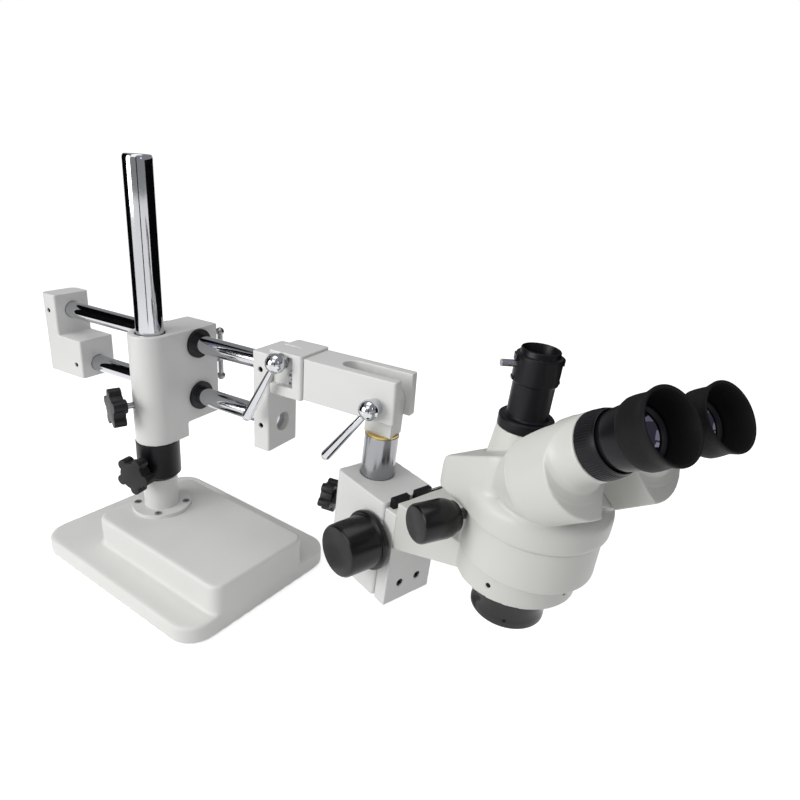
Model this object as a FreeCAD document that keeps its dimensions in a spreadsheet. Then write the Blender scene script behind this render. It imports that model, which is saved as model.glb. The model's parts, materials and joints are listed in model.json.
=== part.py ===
# Trinocular stereo zoom microscope on a double-arm boom stand.
# Millimetres. Row frame: +X along the boom arms towards the microscope, +Z up,
# origin on the floor under the middle of the upright post.
import FreeCAD, Part
import Sketcher
import math
import os
import re

App = FreeCAD
doc = FreeCAD.newDocument("BoomStandMicroscope")

# Driving dimensions
SIZES = {
    # fits
    "fit_gap": 0.05, "seat_gap": 0.3, "plate_gap": 0.1,
    # base
    "feet_height": 2, "feet_radius": 11, "feet_inset": 20,
    "plate_length": 239, "plate_width": 182, "plate_thick": 17, "plate_back": -87,
    "plate_near": -86, "plate_corner": 25, "rim_round": 3, "block_length": 182,
    "block_width": 112, "block_thick": 30, "block_back": -30, "block_near": -56,
    "block_corner": 12, "flange_radius": 29, "flange_thick": 4, "socket_radius": 17,
    "socket_height": 37, "socket_screw_circle": 24, "cap_head_radius": 3.5, "cap_head_height": 4,
    # post
    "post_radius": 12.7, "post_length": 346, "post_round": 1.5,
    # safety collar
    "collar_radius": 21, "collar_bottom": 90, "collar_height": 36,
    # star knobs
    "star_core": 14, "star_lobe": 5.3, "star_reach": 14.2, "star_thick": 11.5,
    "star_hub": 7, "stud_radius": 3,
    # carriage
    "carriage_half": 20.5, "carriage_back": 66, "carriage_height": 110.7,
    "heel_height": 15, "heel_back": 23, "post_bush_wall": 1.2, "post_bush_length": 25,
    "arm_bush_wall": 2, "arm_bush_flange": 14.5, "arm_bush_lip": 3,
    "clamp_reach": 93, "clamp_screw_radius": 4, "clamp_bar_radius": 2.75,
    "clamp_bar_half": 25, "clamp_ball": 4.5,
    # boom arms
    "arm_radius": 9, "arm_side": 40, "arm_high": 221.5, "arm_low": 166.5,
    "arm_back": -190, "arm_front": 146, "low_arm_front": 122,
    "end_block_half": 21, "left_block_back": -196, "left_block_thick": 24,
    "left_step": 36, "left_bottom": 152, "left_top": 240, "left_step_top": 195,
    "right_block_back": 109, "right_block_thick": 19, "right_bottom": 142,
    "right_top": 238, "edge_round": 2.5, "left_round": 8, "set_screw_radius": 2.5,
    # swivel bracket and fork
    "bracket_back": 128.3, "bracket_length": 35.7, "bracket_bottom": 202,
    "bracket_top": 243, "clamp_slit": 2, "bracket_bolt_x": 143, "bracket_bolt_z": 235,
    "tenon_back": 146.8, "notch_low": 211.5, "notch_high": 239.5, "notch_deep": 6,
    "bracket_screw_in": 3.7, "tenon_half": 10, "tenon_low": 209, "tenon_high": 229,
    "fork_back": 164, "fork_front": 257, "fork_half": 19, "fork_bottom": 203,
    "fork_top": 241, "slot_half": 9.6, "slot_end": 205,
    "pivot_x": 238.5, "pivot_z": 216, "pivot_bolt": 4,
    # clamp levers
    "lever_ball": 9, "lever_boss": 7.5, "lever_reach": 65, "lever_thin": 2.8,
    "lever_thick": 4.6, "lever_stand": 9,
    # shaft and its tongue
    "shaft_radius": 15, "shaft_length": 87, "shaft_top": 31, "tongue_half": 13,
    "tongue_thick": 18.6, "tongue_drop": 29, "washer_thick": 2, "shaft_spigot": 5,
    # focus block
    "focus_back": -21, "focus_length": 65, "focus_half": 28, "focus_top": 70,
    "focus_bottom": 164, "shaft_bore_depth": 55, "focus_round": 3,
    "guide_thick": 5, "guide_half": 21, "guide_top": 66, "guide_bottom": 162,
    "guide_slot": 4, "pinion_x": 35, "pinion_z": 109, "pinion_radius": 9,
    "pinion_shaft": 4, "focus_knob": 22.5, "focus_knob_flange": 26,
    "focus_knob_end": 65, "focus_knob_face": 36, "focus_knob_back": 30, "knob_round": 1.6,
    "clamp_knob_reach": 37,
    # slide and ring holder
    "slide_front": 58, "slide_half": 26, "slide_top": 74, "slide_bottom": 166,
    "rack_half": 3.5, "rack_top": 82, "rack_bottom": 160, "rack_thick": 4.7,
    "ring_reach": 160, "ring_outer": 43, "ring_bore": 38.1,
    "ring_top": 49, "ring_height": 19, "grub_radius": 1.8, "ring_arm_low": 106, "ring_arm_high": 62,
    "ring_arm_wide": 34, "slide_screw_side": 10, "slide_screw_z": 148,
    # head
    "barrel_radius": 38, "skirt_x": 6.5, "skirt_radius": 46.4, "skirt_round": 3,
    "skirt_height": 32, "brow_radius": 49.8, "brow_lip": 2.5, "seam_gap": 0.3,
    "body_half": 46, "body_back": -54, "body_front": 12, "body_top": 83, "body_round": 14,
    "brow_top": 55, "brow_round": 8,
    "roof_x": -46.5, "roof_z": 57.3,
    "objective_radius": 26, "objective_lip": 27, "objective_drop": 51,
    "objective_bore": 20, "thread_depth": 8, "glass_seat": 18, "glass_thick": 3,
    "turret_x": -21.5, "turret_low_radius": 23, "turret_radius": 19, "turret_low": 54,
    "turret_top": 86, "tube_flange": 19.2, "tube_flange_top": 94, "tube_radius": 14.3,
    "tube_collar": 15.8, "tube_collar_low": 119, "tube_collar_top": 138,
    "tube_top": 142, "tube_bore": 11.6, "pin_radius": 2.4, "pin_reach": 26, "pin_z": 131,
    "zoom_x": -21, "zoom_z": 24, "zoom_radius": 14, "zoom_face": 79, "zoom_back": 51,
    "zoom_hub": 7, "zoom_shaft": 4,
    # eye tubes
    "drum_side": 26.5, "drum_rise": 43.1, "drum_radius": 29.8, "drum_root": 18,
    "drum_low": 45, "crown_radius": 95, "crown_high": 27.3, "crown_middle": 100,
    "drum_seam": 73.5, "drum_front": 106, "drum_flat": 15.7, "nose_end": 126.5, "nose_radius": 19.6,
    "eye_side": 4.5, "eye_rise": 9.2,
    "tube_outer": 16.5, "tube_inner": 15.05, "tube_end": 135,
    "dioptre_radius": 19.4, "dioptre_low": 126.9, "dioptre_high": 134.8,
    "barrel_low": 122, "eyepiece_radius": 18.3, "eyepiece_low": 141.3,
    "eyepiece_end": 153, "eyecup_radius": 20.5, "eyecup_low": 145.5,
    "eyecup_end": 169.5, "eyecup_bore": 14.5, "eye_lens": 11.8,
    "left_out": 5.5, "right_out": -5.5,
}
# Angles in degrees
BASE_TURN = -6
SHAFT_TILT = 3.5
FOCUS_TURN = -20
HEAD_TURN = -10.3
EYE_TILT = 51.3
FLAT_TURN = 24
ROOF_SLOPE = 27
BACK_SLOPE = 58.6

sheet = doc.addObject("Spreadsheet::Sheet", "Sizes")
for row, (alias, number) in enumerate(SIZES.items(), start=1):
    sheet.set(f"A{row}", alias)
    sheet.set(f"B{row}", str(number))
    sheet.setAlias(f"B{row}", alias)
doc.recompute()


def size(alias):
    """A driving dimension read back from the sheet."""
    return float(sheet.get(alias))


def cells(text):
    """An expression in which every alias points at its cell."""
    return re.sub(r"[a-z][a-z_]*[a-z]", lambda word: "Sizes." + word.group(0), str(text))


def bind(feature, **expressions):
    for name, text in expressions.items():
        feature.setExpression(name, cells(text))
    return feature


def put(feature, at, rotation=None):
    """Place a feature at bound coordinates, turned by a fixed rotation."""
    if rotation is not None:
        feature.Placement = App.Placement(App.Vector(), rotation)
    for axis, text in zip("xyz", at):
        if str(text) != "0":
            feature.setExpression(f"Placement.Base.{axis}", cells(text))
    return feature


UP = None
ALONG_X = App.Rotation(App.Vector(0, 1, 0), 90)
ALONG_Y = App.Rotation(App.Vector(1, 0, 0), -90)
AGAINST_X = App.Rotation(App.Vector(0, 1, 0), -90)
AGAINST_Y = App.Rotation(App.Vector(1, 0, 0), 90)


def box(length, width, height, at=(0, 0, 0), rotation=UP):
    feature = doc.addObject("Part::Box", "Box")
    bind(feature, Length=length, Width=width, Height=height)
    return put(feature, at, rotation)


def cylinder(radius, height, at=(0, 0, 0), rotation=UP):
    feature = doc.addObject("Part::Cylinder", "Cylinder")
    bind(feature, Radius=radius, Height=height)
    return put(feature, at, rotation)


def cone(low_radius, high_radius, height, at=(0, 0, 0), rotation=UP):
    feature = doc.addObject("Part::Cone", "Cone")
    bind(feature, Radius1=low_radius, Radius2=high_radius, Height=height)
    return put(feature, at, rotation)


def ball(radius, at=(0, 0, 0)):
    feature = doc.addObject("Part::Sphere", "Ball")
    bind(feature, Radius=radius)
    return put(feature, at)


def fuse(*features):
    feature = doc.addObject("Part::MultiFuse", "Fuse")
    feature.Shapes = list(features)
    feature.Refine = True
    return feature


def cut(base, *tools):
    feature = doc.addObject("Part::Cut", "Cut")
    feature.Base = base
    feature.Tool = tools[0] if len(tools) == 1 else fuse(*tools)
    return feature


def common(first, second):
    feature = doc.addObject("Part::Common", "Common")
    feature.Base = first
    feature.Tool = second
    return feature


def ring(outer, inner, height, at=(0, 0, 0), rotation=UP):
    """A sleeve: a cylinder with a bore through it."""
    body = cylinder(outer, height, rotation=rotation)
    bore = cylinder(inner, height, rotation=rotation)
    return put(cut(body, bore), at)


def round_edges(base, radius, chosen):
    """Fillet the edges of a feature that the test picks."""
    doc.recompute()
    feature = doc.addObject("Part::Fillet", "Round")
    feature.Base = base
    numbers = [i for i, edge in enumerate(base.Shape.Edges, start=1) if chosen(edge)]
    feature.Edges = [(number, size(radius), size(radius)) for number in numbers]
    return feature


def upright(edge):
    """True for a straight edge that runs along Z."""
    if edge.Curve.TypeId != "Part::GeomLine":
        return False
    return abs(edge.Curve.Direction.z) > 0.999


NODES = []


def node(name, features, frame=App.Placement()):
    """One named piece, or one group of like pieces, set in its frame."""
    group = features if isinstance(features, list) else [features]
    feature = doc.addObject("Part::Compound", name)
    feature.Links = group
    feature.Label = name
    feature.Placement = frame
    NODES.append(feature)
    return feature


def turned(axis, degrees):
    return App.Placement(App.Vector(), App.Rotation(axis, degrees))


def moved(x, y, z):
    return App.Placement(App.Vector(x, y, z), App.Rotation())


X_AXIS = App.Vector(1, 0, 0)
Y_AXIS = App.Vector(0, 1, 0)
Z_AXIS = App.Vector(0, 0, 1)

# Frames of the sub-assemblies, each given in the row frame
BASE = turned(Z_AXIS, BASE_TURN)
SHAFT = moved(size("pivot_x"), size("arm_side"), size("pivot_z")) * turned(Y_AXIS, SHAFT_TILT)
FOCUS = SHAFT * turned(Z_AXIS, FOCUS_TURN)
HEAD = FOCUS * moved(size("ring_reach"), 0, -size("ring_top")) * turned(Z_AXIS, HEAD_TURN)


def eye_frame(side):
    """Frame of one prism housing: Z along its eye tube, X towards its underside."""
    tilted = HEAD * moved(0, side * size("drum_side"), 0) * turned(Y_AXIS, EYE_TILT)
    return tilted * moved(-size("drum_rise"), 0, 0)


# Base: stepped casting, feet, socket and post
def rectangle(body, name, level, corner, length, width):
    """A sketch of one rectangle on a plane parallel to the body's own XY plane."""
    sketch = body.newObject("Sketcher::SketchObject", name)
    plane = next(f for f in body.Origin.OriginFeatures if f.Role == "XY_Plane")
    sketch.AttachmentSupport = [(plane, "")]
    sketch.MapMode = "FlatFace"
    sketch.setExpression("AttachmentOffset.Base.z", cells(level))
    x, y = size(corner[0]), size(corner[1])
    far_x, far_y = x + size(length), y + size(width)
    points = [App.Vector(x, y), App.Vector(far_x, y), App.Vector(far_x, far_y), App.Vector(x, far_y)]
    for start, end in zip(points, points[1:] + points[:1]):
        sketch.addGeometry(Part.LineSegment(start, end))
    for side in range(4):
        sketch.addConstraint(Sketcher.Constraint("Coincident", side, 2, (side + 1) % 4, 1))
    for side, kind in enumerate(("Horizontal", "Vertical", "Horizontal", "Vertical")):
        sketch.addConstraint(Sketcher.Constraint(kind, side))
    driven = (("DistanceX", 0, 1, 0, 2, length), ("DistanceY", 1, 1, 1, 2, width))
    for kind, first, first_end, second, second_end, alias in driven:
        constraint = Sketcher.Constraint(kind, first, first_end, second, second_end, size(alias))
        index = sketch.addConstraint(constraint)
        sketch.setExpression(f"Constraints[{index}]", cells(alias))
    back = sketch.addConstraint(Sketcher.Constraint("DistanceX", -1, 1, 0, 1, x))
    sketch.setExpression(f"Constraints[{back}]", cells(corner[0]))
    low = sketch.addConstraint(Sketcher.Constraint("DistanceY", -1, 1, 0, 1, y))
    sketch.setExpression(f"Constraints[{low}]", cells(corner[1]))
    return sketch


def pad(body, name, sketch, thick):
    feature = body.newObject("PartDesign::Pad", name)
    feature.Profile = sketch
    feature.setExpression("Length", cells(thick))
    body.Tip = feature
    doc.recompute()
    return feature


def dress(body, name, radius, chosen):
    """A PartDesign fillet on the edges that the test picks."""
    previous = body.Tip
    names = [f"Edge{i}" for i, edge in enumerate(previous.Shape.Edges, start=1) if chosen(edge)]
    feature = body.newObject("PartDesign::Fillet", name)
    feature.Base = (previous, names)
    feature.setExpression("Radius", cells(radius))
    body.Tip = feature
    doc.recompute()
    return feature


def at_reach(reach):
    """A test for edges that lie wholly in one plane across Y, on either side."""
    return lambda edge: min(abs(edge.BoundBox.YMin), abs(edge.BoundBox.YMax)) > reach - 0.01


def at_height(level):
    """A test for edges that lie wholly at one height."""
    return lambda edge: abs(edge.BoundBox.ZMin - level) < 0.01 and abs(edge.BoundBox.ZMax - level) < 0.01


plate_top = size("feet_height") + size("plate_thick")
block_top = plate_top + size("block_thick")

plate = doc.addObject("PartDesign::Body", "BasePlate")
outline = rectangle(plate, "PlateSketch", "feet_height", ("plate_back", "plate_near"),
                    "plate_length", "plate_width")
pad(plate, "Plate", outline, "plate_thick")
dress(plate, "PlateCorners", "plate_corner", upright)
dress(plate, "PlateRim", "rim_round", at_height(plate_top))
block = doc.addObject("PartDesign::Body", "BaseBlock")
outline = rectangle(block, "BlockSketch", "feet_height", ("block_back", "block_near"),
                    "block_length", "block_width")
pad(block, "Block", outline, "plate_thick + block_thick")
dress(block, "BlockCorners", "block_corner", upright)
dress(block, "BlockRim", "rim_round", at_height(block_top))
TOP = "feet_height + plate_thick + block_thick"
node("base_casting", fuse(plate, block), BASE)

feet = [cylinder("feet_radius", "feet_height")]
for foot_x in ("plate_back + feet_inset", "plate_back + plate_length - feet_inset"):
    for foot_y in ("plate_near + feet_inset", "plate_near + plate_width - feet_inset"):
        feet.append(cylinder("feet_radius", "feet_height", (foot_x, foot_y, 0)))
node("rubber_feet", feet, BASE)

flange = cylinder("flange_radius", "flange_thick", (0, 0, TOP))
tube = cylinder("socket_radius", "socket_height", (0, 0, TOP))
throat = cylinder("post_radius + fit_gap", "socket_height", (0, 0, TOP))
screw_seats = []
socket_screws = []
for turn in (45, 135, 225, 315):
    spot = App.Vector(size("socket_screw_circle"), 0, 0)
    spot = App.Rotation(Z_AXIS, turn).multVec(spot)
    head = (f"{spot.x:.3f}", f"{spot.y:.3f}", TOP + " + 1")
    screw_seats.append(cylinder("cap_head_radius + fit_gap", "flange_thick", head))
    cap = cylinder("cap_head_radius", "cap_head_height - 0.5", head)
    key = cylinder("cap_head_radius / 2", "2", (head[0], head[1], TOP + " + 1 + cap_head_height - 2.5"))
    socket_screws.append(cut(cap, key))
node("post_socket", cut(fuse(flange, tube), throat, *screw_seats), BASE)
node("socket_screws", socket_screws, BASE)

rod = cylinder("post_radius", "post_length", (0, 0, TOP))
crown = size("post_length") + block_top
node("post", round_edges(rod, "post_round", at_height(crown)))


# Five-lobed star knob on a threaded stud, pointing along local +Z
def star_knob(name, frame, reach, inner, scale=1):
    """The knob starts at reach; its stud runs back to the radius named inner."""
    lobes = [cylinder(f"star_core * {scale}", "star_thick", (0, 0, reach))]
    for turn in range(0, 360, 72):
        spot = App.Rotation(Z_AXIS, turn).multVec(App.Vector(size("star_reach") * scale, 0, 0))
        lobes.append(cylinder(f"star_lobe * {scale}", "star_thick",
                              (f"{spot.x:.3f}", f"{spot.y:.3f}", reach)))
    grip = fuse(*lobes)
    hub = cylinder("star_hub", "4", (0, 0, reach + " - 4"))
    seat = cylinder("stud_radius", "10", (0, 0, reach + " - 4"))
    node(name + "_knob", cut(fuse(grip, hub), seat), frame)
    node(name + "_stud", cylinder("stud_radius", f"{reach} + 6 - ({inner})", (0, 0, inner)), frame)


def pointing(direction, at=(0, 0, 0)):
    """A placement at a point whose +Z looks along a direction."""
    return App.Placement(App.Vector(*at), App.Rotation(Z_AXIS, App.Vector(*direction)))


def radial_hole(direction, level):
    """A tapped hole for a stud, from the post's axis outwards."""
    feature = doc.addObject("Part::Cylinder", "StudHole")
    bind(feature, Radius="stud_radius + fit_gap", Height="45")
    feature.Placement = pointing(direction, (0, 0, level))
    return feature


COLLAR_KNOB_Z = 100
COLLAR_KNOB_WAY = (0.12, -1, 0)
CARRIAGE_KNOB_Z = 166
CARRIAGE_KNOB_WAY = (-0.4, -0.917, 0)

collar_blank = ring("collar_radius", "post_radius + fit_gap", "collar_height", (0, 0, "collar_bottom"))
node("safety_collar", cut(collar_blank, radial_hole(COLLAR_KNOB_WAY, COLLAR_KNOB_Z)))
star_knob("collar", pointing(COLLAR_KNOB_WAY, (0, 0, COLLAR_KNOB_Z)), "27",
          "post_radius + seat_gap")

# Carriage: rides on the post and carries both arms behind it
CARRIAGE_Z = "collar_bottom + collar_height + seat_gap"
BORE = "post_radius + fit_gap + post_bush_wall + fit_gap"
nose = cut(cylinder("carriage_half", "carriage_height", (0, 0, CARRIAGE_Z)),
           radial_hole(CARRIAGE_KNOB_WAY, CARRIAGE_KNOB_Z))
housing = box("2 * carriage_half", "carriage_back", "carriage_height - heel_height",
              ("-carriage_half", 0, CARRIAGE_Z + " + heel_height"))
heel = box("2 * carriage_half", "heel_back", "heel_height + 1", ("-carriage_half", 0, CARRIAGE_Z))
post_bore = cylinder(BORE, "carriage_height", (0, 0, CARRIAGE_Z))
arm_bores = []
arm_bushes = []
for level in ("arm_low", "arm_high"):
    arm_bores.append(cylinder("arm_radius + arm_bush_wall + 2 * fit_gap", "2 * carriage_half",
                              ("-carriage_half", "arm_side", level), ALONG_X))
    for start, way in (("carriage_half", AGAINST_X), ("-carriage_half", ALONG_X)):
        lip_start = "carriage_half + arm_bush_lip" if way is AGAINST_X else "-carriage_half - arm_bush_lip"
        sleeve = cylinder("arm_radius + arm_bush_wall + fit_gap", "arm_bush_lip + 12",
                          (lip_start, "arm_side", level), way)
        lip = cylinder("arm_bush_flange", "arm_bush_lip", (lip_start, "arm_side", level), way)
        bore = cylinder("arm_radius + fit_gap", "arm_bush_lip + 12", (lip_start, "arm_side", level), way)
        arm_bushes.append(cut(fuse(sleeve, lip), bore))
clamp_hole = cylinder("clamp_screw_radius + fit_gap", "carriage_back",
                      (0, "arm_side", "(arm_low + arm_high) / 2"), ALONG_Y)
casting = cut(fuse(nose, housing, heel), post_bore)
node("carriage", cut(casting, *arm_bores, clamp_hole))
post_bushes = []
for level in (CARRIAGE_Z + " + 1", CARRIAGE_Z + " + carriage_height - 1 - post_bush_length"):
    post_bushes.append(ring("post_radius + fit_gap + post_bush_wall", "post_radius + fit_gap",
                            "post_bush_length", (0, 0, level)))
node("post_bushes", post_bushes)
node("arm_bushes", arm_bushes)
star_knob("carriage", pointing(CARRIAGE_KNOB_WAY, (0, 0, CARRIAGE_KNOB_Z)), "31",
          "post_radius + seat_gap")

# Arm clamp behind the carriage: a screw with a cross bar
MID = "(arm_low + arm_high) / 2"
clamp_screw = cylinder("clamp_screw_radius", "clamp_reach - 50", (0, "50", MID), ALONG_Y)
clamp_hub = cylinder("clamp_screw_radius + 3", "14", (0, "clamp_reach - 9", MID), ALONG_Y)
cross_hole = cylinder("clamp_bar_radius + fit_gap", "20", (0, "clamp_reach - 2", MID + " - 10"))
node("arm_clamp_screw", cut(fuse(clamp_screw, clamp_hub), cross_hole))
bar = cylinder("clamp_bar_radius", "2 * clamp_bar_half", (0, "clamp_reach - 2", MID + " - clamp_bar_half"))
balls = [ball("clamp_ball", (0, "clamp_reach - 2", MID + f" {sign} clamp_bar_half")) for sign in "-+"]
node("arm_clamp_bar", fuse(bar, *balls))

# Boom arms and the two blocks that tie their ends
node("upper_arm", cylinder("arm_radius", "arm_front - arm_back", ("arm_back", "arm_side", "arm_high"),
                           ALONG_X))
node("lower_arm", cylinder("arm_radius", "low_arm_front - arm_back", ("arm_back", "arm_side", "arm_low"),
                           ALONG_X))


def arm_hole(start, length, level):
    return cylinder("arm_radius + fit_gap", length, (start, "arm_side", level), ALONG_X)


def side_hole(x, level):
    """A set screw's hole, from the near side of an end block to the arm."""
    at = (x, "arm_side - end_block_half - 1", level)
    return cylinder("set_screw_radius + fit_gap", "end_block_half", at, ALONG_Y)


def set_screw(x, level):
    at = (x, "arm_side - end_block_half + 1.5", level)
    body = cylinder("set_screw_radius", "end_block_half - arm_radius - 2", at, ALONG_Y)
    return cut(body, cylinder("set_screw_radius / 2", "2.5", at, ALONG_Y))


NEAR = "arm_side - end_block_half"
tall = box("left_block_thick", "2 * end_block_half", "left_top - left_bottom",
           ("left_block_back", NEAR, "left_bottom"))
step = box("left_step + 1", "2 * end_block_half", "left_step_top - left_bottom",
           ("left_block_back + left_block_thick - 1", NEAR, "left_bottom"))


def outer_end(edge):
    """True for the left block's two upright edges at its outer end."""
    return upright(edge) and edge.BoundBox.XMin < size("left_block_back") + 0.1


def inner_edges(edge):
    return upright(edge) and edge.BoundBox.XMin > size("left_block_back") + 0.1 + size("left_round")


left_blank = round_edges(fuse(tall, step), "left_round", outer_end)
left_blank = round_edges(left_blank, "edge_round", inner_edges)
left_screws = (("left_block_back + left_block_thick / 2", "arm_high"),
               ("left_block_back + left_block_thick + left_step - 10", "arm_low"))
left_holes = [arm_hole("arm_back - 0.5", "100", level) for level in ("arm_low", "arm_high")]
node("left_end_block", cut(left_blank, *left_holes, *[side_hole(*spot) for spot in left_screws]))

right_blank = round_edges(box("right_block_thick", "2 * end_block_half", "right_top - right_bottom",
                              ("right_block_back", NEAR, "right_bottom")), "edge_round", upright)
right_x = "right_block_back + right_block_thick / 2"
right_screws = ((right_x, "arm_high"), (right_x, "arm_low"))
low_hole = arm_hole("right_block_back - 1", "right_block_thick + 2", "arm_low")
high_hole = arm_hole("right_block_back - 1", "right_block_thick + 2", "arm_high")
node("right_end_block", cut(right_blank, low_hole, high_hole,
                            *[side_hole(*spot) for spot in right_screws]))
node("arm_set_screws", [set_screw(*spot) for spot in left_screws + right_screws])

# Swivel bracket: turns on the end of the upper arm and is clamped by a lever
bracket_blank = round_edges(box("bracket_length", "2 * end_block_half", "bracket_top - bracket_bottom",
                                ("bracket_back", NEAR, "bracket_bottom")), "edge_round", upright)
bracket_bore = arm_hole("bracket_back - 1", "arm_front - bracket_back + 1.5", "arm_high")
slit = box("arm_front - bracket_back + 2", "clamp_slit", "bracket_top",
           ("bracket_back - 1", "arm_side - clamp_slit / 2", "arm_high"))
tenon_seat = box("bracket_length", "2 * tenon_half + 2 * fit_gap", "tenon_high - tenon_low + 2 * fit_gap",
                 ("tenon_back - fit_gap", "arm_side - tenon_half - fit_gap", "tenon_low - fit_gap"))
notch = box("tenon_back + 2 * bracket_screw_in - bracket_back + 1", "notch_deep + 1",
            "notch_high - notch_low", ("bracket_back - 1", NEAR + " - 1", "notch_low"))
bracket_bolt_hole = cylinder("stud_radius + fit_gap", "2 * end_block_half + 2",
                             ("bracket_bolt_x", NEAR + " - 1", "bracket_bolt_z"), ALONG_Y)
bracket_screw_holes = []
bracket_screws = []
for level in ("tenon_low + 6", "tenon_low + 14"):
    at = ("tenon_back + bracket_screw_in", NEAR + " + 6", level)
    bracket_screw_holes.append(cylinder("2 + fit_gap", "11", at, ALONG_Y))
    shank = cylinder("2", "10", at, ALONG_Y)
    cap = cylinder("cap_head_radius", "3", (at[0], NEAR + " + 3", level), ALONG_Y)
    key = cylinder("cap_head_radius / 2", "1.5", (at[0], NEAR + " + 3", level), ALONG_Y)
    bracket_screws.append(cut(fuse(shank, cap), key))
node("swivel_bracket", cut(bracket_blank, bracket_bore, slit, tenon_seat, notch, bracket_bolt_hole,
                           *bracket_screw_holes))
node("bracket_screws", bracket_screws)

# Fork beam: two cheeks round a slot that is open at the front
FORK_NEAR = "arm_side - fork_half"
beam = box("fork_front - fork_back", "2 * fork_half", "fork_top - fork_bottom",
           ("fork_back + plate_gap", FORK_NEAR, "fork_bottom"))
tenon = box("fork_back - tenon_back + 2", "2 * tenon_half", "tenon_high - tenon_low",
            ("tenon_back", "arm_side - tenon_half", "tenon_low"))
slot = box("fork_front", "2 * slot_half", "fork_top", ("slot_end", "arm_side - slot_half", "fork_bottom - 1"))
slot_round = cylinder("slot_half", "fork_top", ("slot_end", "arm_side", "fork_bottom - 1"))
pivot_hole = cylinder("pivot_bolt + fit_gap", "2 * fork_half + 2", ("pivot_x", FORK_NEAR + " - 1", "pivot_z"),
                      ALONG_Y)
tapped = []
for level in ("tenon_low + 6", "tenon_low + 14"):
    tapped.append(cylinder("2 + fit_gap", "11", ("tenon_back + bracket_screw_in", NEAR + " + 6", level),
                           ALONG_Y))
fork_blank = round_edges(beam, "edge_round", upright)
node("fork_beam", cut(fuse(fork_blank, tenon), slot, slot_round, pivot_hole, *tapped))


# Clamp lever: ball hub with a tapered handle, bolt along local +Z
def clamp_lever(name, frame, swing, bolt_radius, bolt_length):
    """The hub stands off the clamped face; the handle swings in the local XY plane."""
    hub = cylinder("lever_boss", "lever_stand", (0, 0, "-lever_stand - plate_gap"))
    knob = ball("lever_ball", (0, 0, "-lever_stand"))
    handle = doc.addObject("Part::Cone", "Handle")
    bind(handle, Radius1="lever_thin", Radius2="lever_thick", Height="lever_reach - lever_thick")
    tip = doc.addObject("Part::Sphere", "HandleTip")
    bind(tip, Radius="lever_thick")
    way = App.Vector(math.cos(math.radians(swing)), math.sin(math.radians(swing)), -0.12).normalize()
    root = App.Vector(0, 0, -size("lever_stand"))
    handle.Placement = App.Placement(root, App.Rotation(Z_AXIS, way))
    tip.Placement = App.Placement(root + way * (size("lever_reach") - size("lever_thick")), App.Rotation())
    bolt = cylinder(bolt_radius, f"lever_stand + {bolt_length}", (0, 0, "-lever_stand"))
    flat = box("40", "40", "20", ("-20", "-20", "-plate_gap"))
    grip = cut(fuse(hub, knob, handle, tip), flat)
    node(name, fuse(grip, bolt), frame)


def facing_back(x, y, z):
    """Local +Z along row +Y, local +X along row +X, local +Y down."""
    return App.Placement(App.Vector(x, y, z), App.Rotation(X_AXIS, -90))


near_face = size("arm_side") - size("end_block_half")
fork_face = size("arm_side") - size("fork_half")
clamp_lever("bracket_lever", facing_back(size("bracket_bolt_x"), near_face, size("bracket_bolt_z")), 116,
            "stud_radius", "2 * end_block_half - 4")
clamp_lever("tilt_lever", facing_back(size("pivot_x"), fork_face, size("pivot_z")), 126,
            "pivot_bolt", "2 * fork_half - 2")

# Shaft: white tongue in the fork, brass washer, bright shaft
tongue_eye = cylinder("tongue_half", "tongue_thick", (0, "-tongue_thick / 2", 0), ALONG_Y)
tongue_leg = box("2 * tongue_half", "tongue_thick", "tongue_drop",
                 ("-tongue_half", "-tongue_thick / 2", "-tongue_drop"))
tongue_hole = cylinder("pivot_bolt + fit_gap", "tongue_thick + 2", (0, "-tongue_thick / 2 - 1", 0), ALONG_Y)
spigot_hole = cylinder("shaft_spigot + fit_gap", "13", (0, 0, "-tongue_drop - 1"))
node("shaft_tongue", cut(fuse(tongue_eye, tongue_leg), tongue_hole, spigot_hole), SHAFT)
node("shaft_washer", ring("shaft_radius - 0.5", "shaft_spigot + fit_gap", "washer_thick",
                          (0, 0, "-shaft_top")), SHAFT)
shaft_rod = cylinder("shaft_radius", "shaft_length", (0, 0, "-shaft_top - shaft_length"))
spigot = cylinder("shaft_spigot", "washer_thick + 12", (0, 0, "-shaft_top - 1"))
node("focus_shaft", fuse(shaft_rod, spigot), SHAFT)

# Focus block: swivels on the shaft, holds the pinion and the guide
FRONT = "focus_back + focus_length"
focus_blank = round_edges(box("focus_length", "2 * focus_half", "focus_bottom - focus_top",
                              ("focus_back", "-focus_half", "-focus_bottom")), "focus_round", upright)
shaft_bore = cylinder("shaft_radius + fit_gap", "shaft_bore_depth",
                      (0, 0, "-focus_top - shaft_bore_depth + 1"))
pinion_bore = cylinder("pinion_shaft + fit_gap", "2 * focus_half + 2",
                       ("pinion_x", "-focus_half - 1", "-pinion_z"), ALONG_Y)
pinion_room = cylinder("pinion_radius + 0.5", "12", ("pinion_x", "-6", "-pinion_z"), ALONG_Y)
CLAMP_WAY = (-0.86, -0.5, 0)
CLAMP_Z = -108
clamp_bore = doc.addObject("Part::Cylinder", "ClampBore")
bind(clamp_bore, Radius="stud_radius + fit_gap", Height="50")
clamp_bore.Placement = pointing(CLAMP_WAY, (0, 0, CLAMP_Z))
node("focus_block", cut(focus_blank, shaft_bore, pinion_bore, pinion_room, clamp_bore), FOCUS)
star_knob("focus_clamp", FOCUS * pointing(CLAMP_WAY, (0, 0, CLAMP_Z)), "clamp_knob_reach",
          "shaft_radius + seat_gap", 0.8)

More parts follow.
